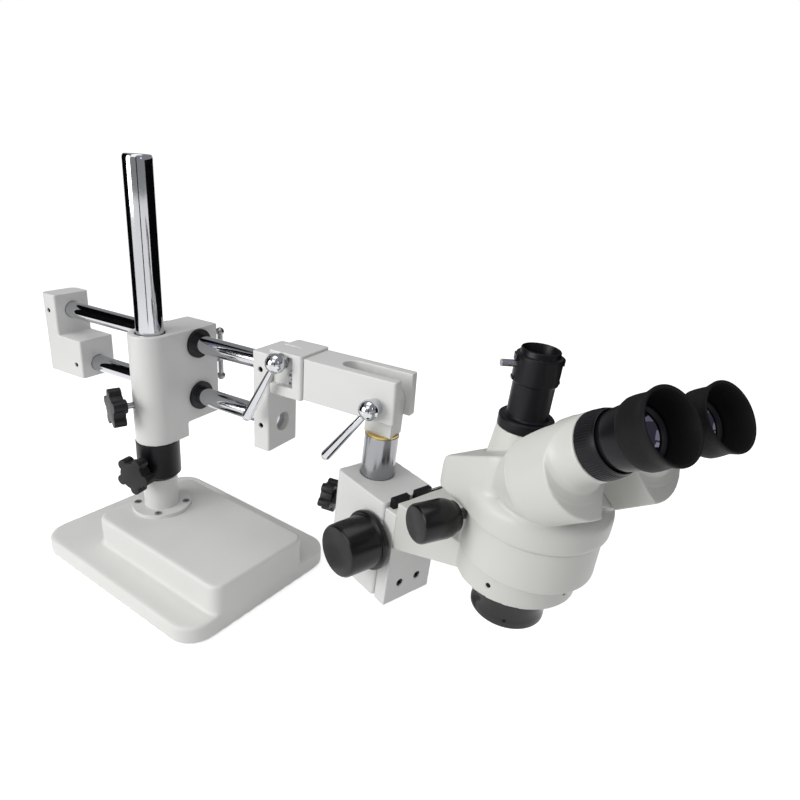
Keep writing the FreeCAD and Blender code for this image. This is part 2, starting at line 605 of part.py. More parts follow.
guide_blank = box("guide_thick", "2 * guide_half", "guide_bottom - guide_top",
                  (FRONT, "-guide_half", "-guide_bottom"))
guide_slot = box("guide_thick + 2", "2 * guide_slot", "guide_bottom",
                 (FRONT + " - 1", "-guide_slot", "-guide_bottom - 4"))
node("dovetail_guide", cut(guide_blank, guide_slot), FOCUS)

pinion_rod = cylinder("pinion_shaft", "2 * focus_knob_end - 6",
                      ("pinion_x", "-focus_knob_end + 3", "-pinion_z"), ALONG_Y)
pinion = cylinder("pinion_radius", "10", ("pinion_x", "-5", "-pinion_z"), ALONG_Y)
node("pinion_shaft", fuse(pinion_rod, pinion), FOCUS)
for name, way, sign in (("focus_knob_left", AGAINST_Y, "-"), ("focus_knob_right", ALONG_Y, "")):
    grip = cylinder("focus_knob", "focus_knob_end - focus_knob_face",
                    ("pinion_x", f"{sign}focus_knob_face", "-pinion_z"), way)
    grip = round_edges(grip, "knob_round", at_reach(size("focus_knob_end")))
    disc = cylinder("focus_knob_flange", "focus_knob_face - focus_knob_back",
                    ("pinion_x", f"{sign}focus_knob_back", "-pinion_z"), way)
    seat = cylinder("pinion_shaft + fit_gap", "focus_knob_end - focus_knob_back - 2.5",
                    ("pinion_x", f"{sign}focus_knob_back", "-pinion_z"), way)
    node(name, cut(fuse(grip, disc), seat), FOCUS)

# Slide: plate on the guide, rack behind it, ring holder in front
GUIDE_FACE = FRONT + " + guide_thick"
slide_blank = box(f"slide_front - ({FRONT}) - 0.6", "2 * slide_half", "slide_bottom - slide_top",
                  (FRONT + " + 0.6", "-slide_half", "-slide_bottom"))
slide_track = box("guide_thick - 0.3", "2 * guide_half + 0.6", "slide_bottom",
                  (FRONT + " + 0.5", "-guide_half - 0.3", "-slide_bottom - 1"))
slide_taps = []
slide_screws = []
for side in ("-", ""):
    at = ("slide_front - 4", f"{side}slide_screw_side", "-slide_screw_z")
    slide_taps.append(cylinder("cap_head_radius + fit_gap", "6", at, ALONG_X))
    cap = cylinder("cap_head_radius", "3.2", at, ALONG_X)
    slide_screws.append(cut(cap, cylinder("cap_head_radius / 2", "2", ("slide_front - 2.6", at[1], at[2]),
                                          ALONG_X)))
rack = box("rack_thick", "2 * rack_half", "rack_bottom - rack_top",
           (GUIDE_FACE + " + 0.2 - rack_thick", "-rack_half", "-rack_bottom"))
node("slide_plate", cut(slide_blank, slide_track, *slide_taps), FOCUS)
node("rack", rack, FOCUS)
node("slide_screws", slide_screws, FOCUS)

hoop = cylinder("ring_outer", "ring_height", ("ring_reach", 0, "-ring_top - ring_height"))
arm = doc.addObject("Part::Wedge", "RingArm")
bind(arm, Xmin="-slide_half", Xmax="slide_half", X2min="-ring_arm_wide", X2max="ring_arm_wide",
     Ymin="slide_front + plate_gap", Ymax="ring_reach - 20", Zmin="-ring_arm_low", Zmax="-ring_arm_high",
     Z2min="-ring_top - ring_height", Z2max="-ring_top")
arm.Placement = turned(Z_AXIS, -90)
eye = cylinder("ring_bore", "2 * ring_arm_low", ("ring_reach", 0, "-ring_arm_low * 2"))
RING_SCREW_WAYS = ((0.216, -0.976, 0), (1, -0.026, 0))
ring_level = -size("ring_top") - size("ring_height") / 2
ring_screw_holes = []
grubs = []
for screw_way in RING_SCREW_WAYS:
    ring_frame = pointing(screw_way, (size("ring_reach"), 0, ring_level))
    hole = doc.addObject("Part::Cylinder", "RingScrewHole")
    bind(hole, Radius="grub_radius + fit_gap", Height="50")
    hole.Placement = ring_frame
    ring_screw_holes.append(hole)
    inner = App.Vector(0, 0, size("ring_bore") + size("seat_gap"))
    grub = doc.addObject("Part::Cylinder", "Grub")
    bind(grub, Radius="grub_radius", Height="ring_outer - ring_bore - 1.2")
    grub.Placement = ring_frame * App.Placement(inner, App.Rotation())
    grubs.append(grub)
node("ring_holder", cut(fuse(hoop, arm), eye, *ring_screw_holes), FOCUS)
node("ring_screws", grubs, FOCUS)

# Head: barrel in the ring, lower housing, main body
barrel = cylinder("barrel_radius", "ring_height + 2", (0, 0, "-ring_height"))
skirt = cylinder("skirt_radius", "skirt_height - seat_gap", ("skirt_x", 0, "seat_gap"))
skirt = round_edges(skirt, "skirt_round", at_height(size("seat_gap")))
barrel_room = cylinder("barrel_radius - 8", "ring_height + skirt_height - 6", (0, 0, "-ring_height + 3"))
light_hole = cylinder("glass_seat", "10", (0, 0, "-ring_height - 1"))
zoom_bore = cylinder("zoom_shaft + fit_gap", "4 * zoom_face", ("zoom_x", "-zoom_face * 2", "zoom_z"), ALONG_Y)
node("lower_housing", cut(fuse(barrel, skirt), barrel_room, light_hole, zoom_bore), HEAD)

BODY_LOW = "skirt_height + seam_gap"
brow = cylinder("brow_radius", f"brow_top - ({BODY_LOW})", ("skirt_x", 0, BODY_LOW))
brow = round_edges(brow, "brow_round", at_height(size("brow_top")))
brow = round_edges(brow, "brow_lip", at_height(size("skirt_height") + size("seam_gap")))
trunk = round_edges(box("body_front - body_back", "2 * body_half", f"body_top - ({BODY_LOW})",
                        ("body_back", "-body_half", BODY_LOW)), "body_round", upright)
roof = box("120", "4 * body_half", "60", ("roof_x", "-2 * body_half", "roof_z"),
           App.Rotation(Y_AXIS, -ROOF_SLOPE))
back = box("150", "4 * body_half", "60", ("roof_x - 30", "-2 * body_half", "roof_z - 49.2"),
           App.Rotation(Y_AXIS, -BACK_SLOPE))
CROWN_SPOT = (size("crown_radius") - size("crown_high"), -100, size("crown_middle"))
shoulders = []
for side in (-1, 1):
    shoulder = doc.addObject("Part::Cone", "Shoulder")
    bind(shoulder, Radius1="drum_root", Radius2="drum_radius", Height="drum_seam - drum_low")
    tilted = moved(0, side * size("drum_side"), 0) * turned(Y_AXIS, EYE_TILT)
    shoulder.Placement = tilted * moved(-size("drum_rise"), 0, size("drum_low"))
    crown = cylinder("crown_radius", "200")
    across = App.Placement(App.Vector(*CROWN_SPOT), ALONG_Y)
    crown.Placement = tilted * moved(-size("drum_rise"), 0, 0) * across
    shoulders.append(common(shoulder, crown))
turret_pocket = cone("turret_low_radius + fit_gap", "turret_radius + fit_gap", "turret_top - turret_low",
                     ("turret_x", 0, "turret_low"))
flange_room = cylinder("tube_flange + seat_gap", "40", ("turret_x", 0, "turret_top"))
trunk = cut(trunk, roof, back)
prism_room = cylinder("barrel_radius - 4", "brow_top - skirt_height - 3", ("skirt_x", 0, f"{BODY_LOW} - 1"))
node("main_body", cut(fuse(brow, trunk, *shoulders), turret_pocket, flange_room, prism_room), HEAD)
turret = cone("turret_low_radius", "turret_radius", "turret_top - turret_low", ("turret_x", 0, "turret_low"))
turret_bore = cylinder("tube_bore", "60", ("turret_x", 0, "turret_low - 5"))
node("photo_turret", cut(turret, turret_bore), HEAD)

shell = cylinder("objective_radius", "objective_drop - ring_height", (0, 0, "-objective_drop"))
lip = cylinder("objective_lip", "4", (0, 0, "-objective_drop"))
throat = cylinder("glass_seat", "objective_drop", (0, 0, "-objective_drop - 1"))
thread = cylinder("objective_bore", "thread_depth + 1", (0, 0, "-objective_drop - 1"))
node("objective_ring", cut(fuse(shell, lip), throat, thread), HEAD)
glass = cylinder("glass_seat - fit_gap", "glass_thick", (0, 0, "-objective_drop + thread_depth + 1"))
node("objective_glass", glass, HEAD)

# Photo tube on the turret
foot = cylinder("tube_flange", "tube_flange_top - turret_top", ("turret_x", 0, "turret_top"))
stem = cylinder("tube_radius", "tube_top - turret_top", ("turret_x", 0, "turret_top"))
collar = cylinder("tube_collar", "tube_collar_top - tube_collar_low", ("turret_x", 0, "tube_collar_low"))
light = cylinder("tube_bore", "tube_top", ("turret_x", 0, "turret_top - 1"))
PIN_WAY = (-0.34, -0.94, 0)
pin_hole = doc.addObject("Part::Cylinder", "PinHole")
bind(pin_hole, Radius="pin_radius + fit_gap", Height="40")
pin_frame = pointing(PIN_WAY, (size("turret_x"), 0, size("pin_z")))
pin_hole.Placement = pin_frame
node("photo_tube", cut(fuse(foot, stem, collar), light, pin_hole), HEAD)
node("photo_lock_pin", cylinder("pin_radius", "pin_reach - tube_bore", (0, 0, "tube_bore")),
     HEAD * pin_frame)

# Zoom drive across the lower housing
spindle = cylinder("zoom_shaft", "2 * zoom_face - 8", ("zoom_x", "-zoom_face + 4", "zoom_z"), ALONG_Y)
node("zoom_shaft", spindle, HEAD)
for name, way, sign in (("zoom_knob_left", AGAINST_Y, "-"), ("zoom_knob_right", ALONG_Y, "")):
    grip = cylinder("zoom_radius", "zoom_face - zoom_back", ("zoom_x", f"{sign}zoom_back", "zoom_z"), way)
    grip = round_edges(grip, "knob_round", at_reach(size("zoom_face")))
    hub = cylinder("zoom_hub", "5", ("zoom_x", f"{sign}(zoom_back - 4)", "zoom_z"), way)
    seat = cylinder("zoom_shaft + fit_gap", "zoom_face - zoom_back",
                    ("zoom_x", f"{sign}(zoom_back - 4)", "zoom_z"), way)
    node(name, cut(fuse(grip, hub), seat), HEAD)

# Eye tubes: prism housing, dioptre ring, eyepiece, lens and eyecup on each side
for name, side in (("left", -1), ("right", 1)):
    frame = eye_frame(side)
    spot = ("-eye_rise", f"{side} * eye_side")
    out = name + "_out"

    def eye_part(radius, low, high):
        return cylinder(radius, f"({high}) - ({low})", (*spot, low))

    drum = cylinder("drum_radius", "drum_front - drum_seam - seat_gap", (0, 0, "drum_seam + seat_gap"))
    rims = []
    for radius, at in (("drum_radius", (0, 0, "drum_front")), ("nose_radius", (*spot, "nose_end"))):
        rim = doc.addObject("Part::Circle", "Rim")
        bind(rim, Radius=radius)
        rims.append(put(rim, at))
    nose = doc.addObject("Part::Loft", "Nose")
    nose.Sections = rims
    nose.Solid = True
    nose.Ruled = True
    flat = doc.addObject("Part::Box", "Flat")
    bind(flat, Length="4 * drum_radius", Width="drum_radius", Height="drum_front")
    reach = size("drum_flat") if side < 0 else -size("drum_flat") - size("drum_radius")
    chord = moved(-2 * size("drum_radius"), reach, size("drum_low"))
    flat.Placement = turned(Z_AXIS, side * FLAT_TURN) * chord
    crown = cylinder("crown_radius", "200", ("crown_radius - crown_high", -100, "crown_middle"), ALONG_Y)
    drum = common(cut(fuse(drum, nose), flat), crown)
    tube = eye_part("tube_outer", "nose_end - 12", "tube_end")
    bore = eye_part("tube_inner", "drum_front + 8", "tube_end + 1")
    node("prism_housing_" + name, cut(fuse(drum, tube), bore), frame)
    dial = cut(eye_part("dioptre_radius", "dioptre_low", "dioptre_high"),
               eye_part("tube_outer + fit_gap", "dioptre_low", "dioptre_high"))
    node("dioptre_ring_" + name, dial, frame)
    eyepiece = fuse(eye_part("tube_inner - fit_gap", "barrel_low", "tube_end + 2"),
                    eye_part("tube_outer + 0.8", "tube_end + plate_gap", f"eyepiece_low + 1 + {out}"),
                    eye_part("eyepiece_radius", f"eyepiece_low + {out}", f"eyecup_low + {out}"),
                    eye_part("eyecup_bore + 1", f"eyecup_low - 1 + {out}", f"eyepiece_end + {out}"))
    node("eyepiece_" + name, cut(eyepiece, eye_part("eye_lens", "barrel_low", "eyecup_end")), frame)
    lens = eye_part("eye_lens - fit_gap", f"eyepiece_end - 5 + {out}", f"eyepiece_end - 2 + {out}")
    node("eye_lens_" + name, lens, frame)
    cup = eye_part("eyecup_radius", f"eyecup_low + plate_gap + {out}", f"eyecup_end + {out}")
    cup_bore = eye_part("eyecup_bore + 1 + fit_gap", f"eyecup_low + {out}", f"eyecup_end + 1 + {out}")
    node("eyecup_" + name, cut(cup, cup_bore), frame)

doc.recompute()

for feature in doc.Objects:
    if "Invalid" in feature.State or "Error" in feature.State:
        raise RuntimeError(f"{feature.Name} ({feature.Label}) did not recompute")
for feature in NODES:
    shape = feature.Shape
    if shape.isNull() or not shape.isValid() or not shape.Solids:
        raise RuntimeError(f"{feature.Label} is not a sound solid")

os.makedirs("parts", exist_ok=True)
for feature in NODES:
    feature.Shape.exportStep(f"parts/{feature.Label}.step")
print(len(NODES), "nodes written")
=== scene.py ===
import bpy
import json
import math
from mathutils import Matrix, Vector

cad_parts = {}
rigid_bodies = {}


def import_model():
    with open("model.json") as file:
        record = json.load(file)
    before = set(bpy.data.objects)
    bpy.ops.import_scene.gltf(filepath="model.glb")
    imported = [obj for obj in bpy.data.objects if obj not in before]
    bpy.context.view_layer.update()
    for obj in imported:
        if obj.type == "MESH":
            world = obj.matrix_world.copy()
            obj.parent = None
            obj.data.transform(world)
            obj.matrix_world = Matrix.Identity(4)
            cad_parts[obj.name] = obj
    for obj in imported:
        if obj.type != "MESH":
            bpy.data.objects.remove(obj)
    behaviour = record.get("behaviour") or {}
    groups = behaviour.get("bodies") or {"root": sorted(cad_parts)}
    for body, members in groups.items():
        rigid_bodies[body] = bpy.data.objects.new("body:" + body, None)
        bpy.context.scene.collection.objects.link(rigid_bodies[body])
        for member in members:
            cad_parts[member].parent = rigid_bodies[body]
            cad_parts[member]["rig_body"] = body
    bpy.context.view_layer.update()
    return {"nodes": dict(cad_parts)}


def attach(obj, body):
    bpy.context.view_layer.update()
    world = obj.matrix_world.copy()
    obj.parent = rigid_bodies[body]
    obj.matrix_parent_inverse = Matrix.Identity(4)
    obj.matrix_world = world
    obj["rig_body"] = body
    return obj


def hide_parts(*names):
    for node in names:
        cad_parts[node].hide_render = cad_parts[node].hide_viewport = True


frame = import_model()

nodes = frame["nodes"]
print("frame loaded:", len(nodes), "nodes")


def mm(value):
    return value / 1000


def turn(axis, degrees):
    return Matrix.Rotation(math.radians(degrees), 4, axis)


def shift(x, y, z):
    return Matrix.Translation((mm(x), mm(y), mm(z)))


# the stand's own axes: fork pivot, then shaft, then focus block, then the head in its ring
shaftFrame = shift(238.5, 40, 216) @ turn("Y", 3.5)
focusFrame = shaftFrame @ turn("Z", -20)
headFrame = focusFrame @ shift(160, 0, -49) @ turn("Z", -10.3)


# along one eyepiece tube, side -1 is the left one, nearer to the camera
def eyeFrame(side):
    return headFrame @ shift(0, side * 26.5, 0) @ turn("Y", 51.3) @ shift(-43.1, 0, 0)


# sRGB hex to the linear numbers that the sockets take
def linear(hexText):
    channels = []
    for start in (0, 2, 4):
        value = int(hexText[start:start + 2], 16) / 255
        channels.append(value / 12.92 if value <= 0.04045 else ((value + 0.055) / 1.055) ** 2.4)
    return (*channels, 1.0)


# a material or world with an empty node tree
def bare(block):
    block.use_nodes = True
    block.node_tree.nodes.clear()
    return block.node_tree


def addNode(tree, kind, inputs=None, links=None, **settings):
    node = tree.nodes.new(kind)
    for key, value in settings.items():
        setattr(node, key, value)
    for key, value in (inputs or {}).items():
        node.inputs[key].default_value = value
    for key, socket in (links or {}).items():
        tree.links.new(socket, node.inputs[key])
    return node


# Every finish has the same build: fine grain for the bump and gloss, a slow drift in tone,
# and rubbed edges found by a small bevel. Sizes are in millimetres.
patterns = {
    "fine": {"Detail": 3.0, "Roughness": 0.6},
    "slow": {"Scale": 14.0, "Detail": 4.0, "Roughness": 0.55},  # about 70 mm across
    "edges": {"From Min": 0.995, "From Max": 0.9, "To Max": 0.8},  # from flat to fully rubbed
    "bump": 0.6,
    "bevelSamples": 6,
}


def makeFinish(name, colour, drift, edge, gloss, grain, relief, rounding, shader):
    material = bpy.data.materials.new(name)
    tree = bare(material)
    place = addNode(tree, "ShaderNodeTexCoord").outputs["Object"]
    fine = addNode(tree, "ShaderNodeTexNoise", {"Scale": 1000 / grain, **patterns["fine"]},
                   {"Vector": place}).outputs["Fac"]
    slow = addNode(tree, "ShaderNodeTexNoise", patterns["slow"], {"Vector": place}).outputs["Fac"]
    soft = addNode(tree, "ShaderNodeBevel", {"Radius": mm(rounding)},
                   samples=patterns["bevelSamples"]).outputs["Normal"]
    flat = addNode(tree, "ShaderNodeNewGeometry").outputs["Normal"]
    alike = addNode(tree, "ShaderNodeVectorMath", None, {0: soft, 1: flat}, operation="DOT_PRODUCT")
    edges = addNode(tree, "ShaderNodeMapRange", patterns["edges"],
                    {"Value": alike.outputs["Value"]}).outputs["Result"]
    tone = addNode(tree, "ShaderNodeMix", {6: linear(colour), 7: linear(drift)}, {0: slow},
                   data_type="RGBA").outputs[2]
    tone = addNode(tree, "ShaderNodeMix", {7: linear(edge)}, {0: edges, 6: tone},
                   data_type="RGBA").outputs[2]
    shine = addNode(tree, "ShaderNodeMapRange", {"From Min": 0.3, "From Max": 0.7, "To Min": gloss[0],
                    "To Max": gloss[1]}, {"Value": fine}).outputs["Result"]
    bump = addNode(tree, "ShaderNodeBump", {"Strength": patterns["bump"], "Distance": mm(relief)},
                   {"Height": fine, "Normal": soft}).outputs["Normal"]
    surface = addNode(tree, "ShaderNodeBsdfPrincipled", shader,
                      {"Base Color": tone, "Roughness": shine, "Normal": bump})
    addNode(tree, "ShaderNodeOutputMaterial", None, {"Surface": surface.outputs["BSDF"]})
    return material


finishes = {
    # satin white powder coat over light alloy, orange peel about 1.2 mm across
    "powderCoat": makeFinish("white powder coat", "E3E3E1", "DEDEDB", "EDEDEB", (0.34, 0.46), 1.2, 0.06,
                             0.7, {"Metallic": 0.0, "IOR": 1.5, "Coat Weight": 0.15, "Coat Roughness": 0.3}),
    # the head's white is a greyer, warmer copy of the stand's white, darkened as a painted shade over the
    # head, and smoother
    "shadedHeadPaint": makeFinish("white head enamel with painted shade", "D6D6D1", "D0D0CA", "E2E2DE", (0.38, 0.48), 1.6, 0.04,
                            0.8, {"Metallic": 0.0, "IOR": 1.5, "Coat Weight": 0.1, "Coat Roughness": 0.3}),
    # thicker white enamel over the sand casting, with a slow wave in it
    "castEnamel": makeFinish("white enamel on casting", "E4E4E1", "DCDCD8", "ECECE9", (0.4, 0.55), 2.4,
                             0.14, 1.0, {"Metallic": 0.0, "IOR": 1.5, "Coat Weight": 0.1,
                                         "Coat Roughness": 0.35}),
    # bright chrome plate on ground bar
    "chrome": makeFinish("chrome plate", "D5D6D9", "C6C8CC", "E4E5E7", (0.05, 0.11), 0.8, 0.004, 0.4,
                         {"Metallic": 1.0}),
    # the focusing shaft is ground after plating, so it mirrors less
    "groundChrome": makeFinish("ground hard chrome", "A8A9AC", "98999C", "CFD0D2", (0.16, 0.26), 0.7, 0.006,
                               0.4, {"Metallic": 1.0}),
    # moulded ABS with a fine spark grain
    "blackAbs": makeFinish("moulded ABS", "101012", "151517", "2A2A2E", (0.36, 0.5), 0.6, 0.05, 0.5,
                           {"Metallic": 0.0, "IOR": 1.54, "Specular IOR Level": 0.3}),
    # polished ABS of the turned knobs
    "glossAbs": makeFinish("polished ABS", "0A0A0B", "0F0F10", "2A2A2E", (0.24, 0.28), 0.9, 0.006, 0.5,
                           {"Metallic": 0.0, "IOR": 1.54, "Specular IOR Level": 0.3}),
    # black enamel baked on the objective ring, still glossy
    "glossBlack": makeFinish("baked black enamel", "0A0A0C", "131316", "303036", (0.1, 0.16), 1.5, 0.01,
                             0.4, {"Metallic": 0.0, "IOR": 1.52}),
    # black anodised aluminium, turned
    "anodised": makeFinish("black anodised aluminium", "0E0E11", "131317", "36363A", (0.3, 0.44), 0.5,
                           0.02, 0.3, {"Metallic": 0.0, "IOR": 1.5, "Specular IOR Level": 0.24}),
    # turned steel screws, studs and pins
    "steel": makeFinish("turned steel", "A9AAAB", "98999A", "CBCCCD", (0.22, 0.36), 0.5, 0.01, 0.3,
                        {"Metallic": 1.0}),
    # black oxide on the small socket screws
    "blackOxide": makeFinish("black oxide on steel", "2A2A2C", "222224", "4A4A4D", (0.3, 0.42), 0.5, 0.01,
                             0.2, {"Metallic": 1.0}),
    "brass": makeFinish("turned brass", "D8BE7C", "CBAE66", "EAD8A4", (0.24, 0.36), 0.5, 0.01, 0.3,
                        {"Metallic": 1.0}),
    # nitrile rubber, dull, its bloom a little paler
    "rubber": makeFinish("nitrile rubber", "0D0D0E", "131314", "1D1D1F", (0.55, 0.72), 0.7, 0.06, 0.6,
                         {"Metallic": 0.0, "IOR": 1.5, "Specular IOR Level": 0.2}),
    # coated lens over a dark tube: the coating throws back violet
    "lens": makeFinish("coated optical glass", "0C0C18", "10102A", "14142A", (0.02, 0.05), 4.0, 0.0, 0.2,
                       {"Metallic": 0.0, "IOR": 1.52, "Coat Weight": 1.0, "Coat Roughness": 0.02,
                        "Coat IOR": 1.7, "Coat Tint": linear("A79CFF")}),
}

wear = {
    "powderCoat": ["carriage", "left_end_block", "right_end_block", "swivel_bracket", "fork_beam",
                   "shaft_tongue", "slide_plate", "focus_block", "main_body", "lower_housing",
                   "photo_turret", "prism_housing_left", "prism_housing_right", "ring_holder",
                   "post_socket"],
    "castEnamel": ["base_casting"],
    "chrome": ["post", "upper_arm", "lower_arm", "bracket_lever", "tilt_lever"],
    "groundChrome": ["focus_shaft"],
    "blackAbs": ["carriage_knob", "collar_knob", "focus_clamp_knob", "focus_knob_left",
                 "focus_knob_right", "zoom_knob_left", "zoom_knob_right", "post_bushes", "arm_bushes"],
    "anodised": ["safety_collar", "objective_ring", "photo_tube", "dioptre_ring_left",
                 "dioptre_ring_right", "eyepiece_left", "eyepiece_right", "dovetail_guide"],
    "blackOxide": ["ring_screws", "slide_screws", "arm_set_screws"],
    "brass": ["shaft_washer"],
    "rubber": ["eyecup_left", "eyecup_right", "rubber_feet"],
    "lens": ["eye_lens_left", "eye_lens_right", "objective_glass"],
}
finishOf = {name: finish for finish, names in wear.items() for name in names}
for name, node in nodes.items():
    node.data.materials.clear()
    node.data.materials.append(finishes[finishOf.get(name, "steel")])
print("finishes made:", len(finishes))


edgeAngle = math.radians(35)  # sharper joins of turned pieces get rounded
smoothAngle = math.radians(32)  # gentler joins are shaded smooth
merge = {"turned": mm(0.001), "cad": mm(0.01)}


def pickOnly(piece):
    if bpy.context.mode != "OBJECT":
        bpy.ops.object.mode_set(mode="OBJECT")
    bpy.ops.object.select_all(action="DESELECT")
    piece.select_set(True)
    bpy.context.view_layer.objects.active = piece


def useModifier(piece, kind, **settings):
    pickOnly(piece)
    modifier = piece.modifiers.new(kind.title(), kind)
    for key, value in settings.items():
        setattr(modifier, key, value)
    bpy.ops.object.modifier_apply(modifier=modifier.name)


# select the faces that the test picks; the test is given a face's middle and its normal
def selectFaces(piece, test):
    bpy.ops.object.mode_set(mode="EDIT")
    bpy.ops.mesh.select_mode(type="FACE")
    bpy.ops.mesh.select_all(action="DESELECT")
    bpy.ops.object.mode_set(mode="OBJECT")
    for face in piece.data.polygons:
        face.select = test(face.center, face.normal)
    bpy.ops.object.mode_set(mode="EDIT")


# a turned piece about local Z: a circle is extruded and scaled from one ring to the next
def turnedPiece(name, profile, sides=96, rounding=0.4, closed=True):
    bpy.ops.object.select_all(action="DESELECT")
    radius, level = profile[0]
    bpy.ops.mesh.primitive_circle_add(vertices=sides, radius=mm(radius), fill_type="NOTHING")
    piece = bpy.context.object
    piece.name = name
    bpy.ops.object.mode_set(mode="EDIT")
    bpy.ops.mesh.select_mode(type="VERT")
    bpy.ops.mesh.select_all(action="SELECT")
    bpy.ops.transform.translate(value=(0, 0, mm(level)))
    for nextRadius, nextLevel in profile[1:] + (profile[:1] if closed else []):
        bpy.ops.mesh.extrude_region_move(TRANSFORM_OT_translate={"value": (0, 0, mm(nextLevel - level))})
        ratio = nextRadius / radius
        bpy.ops.transform.resize(value=(ratio, ratio, 1), center_override=(0, 0, mm(nextLevel)))
        radius, level = nextRadius, nextLevel
    bpy.ops.mesh.select_all(action="SELECT")
    if closed:
        bpy.ops.mesh.remove_doubles(threshold=merge["turned"])
    else:
        bpy.ops.mesh.fill_holes(sides=0)
    bpy.ops.mesh.select_all(action="SELECT")
    bpy.ops.mesh.normals_make_consistent(inside=False)
    bpy.ops.object.mode_set(mode="OBJECT")
    if rounding:
        useModifier(piece, "BEVEL", width=mm(rounding), segments=3, limit_method="ANGLE",
                    angle_limit=edgeAngle)
    return piece


def pushFaces(piece, test, height):
    pickOnly(piece)
    selectFaces(piece, test)
    bpy.ops.mesh.extrude_region_shrink_fatten(TRANSFORM_OT_shrink_fatten={"value": mm(height)})
    bpy.ops.mesh.select_all(action="SELECT")
    bpy.ops.mesh.normals_make_consistent(inside=False)
    bpy.ops.object.mode_set(mode="OBJECT")


# is a face on the outside of a turned piece, between two levels
def onRim(middle, normal, low, high):
    facing = 0.7  # cosine of the angle from straight outward
    outward = normal.x * middle.x + normal.y * middle.y > facing * math.hypot(middle.x, middle.y)
    return outward and mm(low) < middle.z < mm(high)


# straight flutes round a turned piece, between two levels
def fluted(piece, low, high, count, depth):
    step = math.pi / count
    pushFaces(piece, lambda middle, normal: onRim(middle, normal, low, high) and
              math.floor(math.atan2(middle.y, middle.x) / step) % 2 == 0, -depth)


# a lug on the rim of a turned piece, between two levels and round one angle
def lugged(piece, low, high, angle, width, height):
    def inLug(middle, normal):
        apart = (math.degrees(math.atan2(middle.y, middle.x)) - angle + 180) % 360 - 180
        return onRim(middle, normal, low, high) and abs(apart) < width / 2
    pushFaces(piece, inLug, height)


# put a finished piece in its place, give it its finish and its body, and hide the CAD pieces it stands for
def fit(piece, place, finish, body, slot, *stands):
    placed(piece, place)
    bpy.ops.object.shade_smooth_by_angle(angle=smoothAngle)
    piece.data.materials.clear()
    piece.data.materials.append(finishes[finish])
    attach(piece, body)
    if stands:
        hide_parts(*stands)
    return piece


# a copy of a CAD piece to work on, its faces joined up
def mergedCopy(name, nodeName):
    piece = bpy.data.objects.new(name, nodes[nodeName].data.copy())
    bpy.context.scene.collection.objects.link(piece)
    pickOnly(piece)
    bpy.ops.object.mode_set(mode="EDIT")
    bpy.ops.mesh.select_all(action="SELECT")
    bpy.ops.mesh.remove_doubles(threshold=merge["cad"])
    bpy.ops.object.mode_set(mode="OBJECT")
    return piece


# keep the side of a piece that lies behind a plane
def trimmed(piece, spot, way):
    pickOnly(piece)
    bpy.ops.object.mode_set(mode="EDIT")
    bpy.ops.mesh.select_all(action="SELECT")
    bpy.ops.mesh.bisect(plane_co=spot, plane_no=way, use_fill=True, clear_outer=True)
    bpy.ops.object.mode_set(mode="OBJECT")
    return piece


# run the joins and edges of a piece together as a casting's are
def softened(piece, settings):
    useModifier(piece, "REMESH", mode="VOXEL", voxel_size=mm(settings["voxel"]))
    useModifier(piece, "SMOOTH", factor=0.5, iterations=settings["passes"])
    return piece


def placed(piece, place):
    pickOnly(piece)
    piece.matrix_world = place
    bpy.ops.object.transform_apply(location=True, rotation=True, scale=True)


# a copy of a CAD piece with its flat facets run together and its sharp edges rounded
def roundedCopy(name, nodeName, settings):
    piece = mergedCopy(name, nodeName)
    bpy.ops.object.mode_set(mode="EDIT")
    bpy.ops.mesh.select_all(action="SELECT")
    bpy.ops.mesh.dissolve_limited(angle_limit=math.radians(settings["flatter"]))
    bpy.ops.object.mode_set(mode="OBJECT")
    useModifier(piece, "BEVEL", width=mm(settings["width"]), segments=settings["segments"],
                limit_method="ANGLE", angle_limit=math.radians(settings["sharper"]),
                use_clamp_overlap=settings["clamp"])
    return piece


unturned = Matrix.Identity(4)
headParts = ("main_body", "prism_housing_left", "prism_housing_right", "lower_housing", "photo_turret",
              "ring_holder")

# castings with their edges and joins run together; voxel in mm, passes of smoothing
castings = {
    "main_body": {"voxel": 0.9, "passes": 55},
    "lower_housing": {"voxel": 0.85, "passes": 2},
    "photo_turret": {"voxel": 0.6, "passes": 3},
    "ring_holder": {"voxel": 0.7, "passes": 5},
    "slide_plate": {"voxel": 0.6, "passes": 3},
    "focus_block": {"voxel": 0.75, "passes": 3},
    "carriage": {"voxel": 0.78, "passes": 5},
    "left_end_block": {"voxel": 0.6, "passes": 7},
    "right_end_block": {"voxel": 0.6, "passes": 5},
    "swivel_bracket": {"voxel": 0.45, "passes": 5},
    "fork_beam": {"voxel": 0.6, "passes": 5},
}
for nodeName, settings in castings.items():
    onHead = nodeName in headParts
    # head castings take the darker head white, a painted shade
    fit(softened(mergedCopy("casting_" + nodeName, nodeName), settings), unturned,
        "shadedHeadPaint" if onHead else "powderCoat", nodes[nodeName]["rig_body"],
        "white_light_alloy" if onHead else "white_paint", nodeName)
baseCasting = {"voxel": 1.38, "passes": 6}
fit(softened(mergedCopy("casting_base", "base_casting"), baseCasting), unturned, "castEnamel",
    nodes["base_casting"]["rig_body"], "cast_base", "base_casting")
print("castings made")

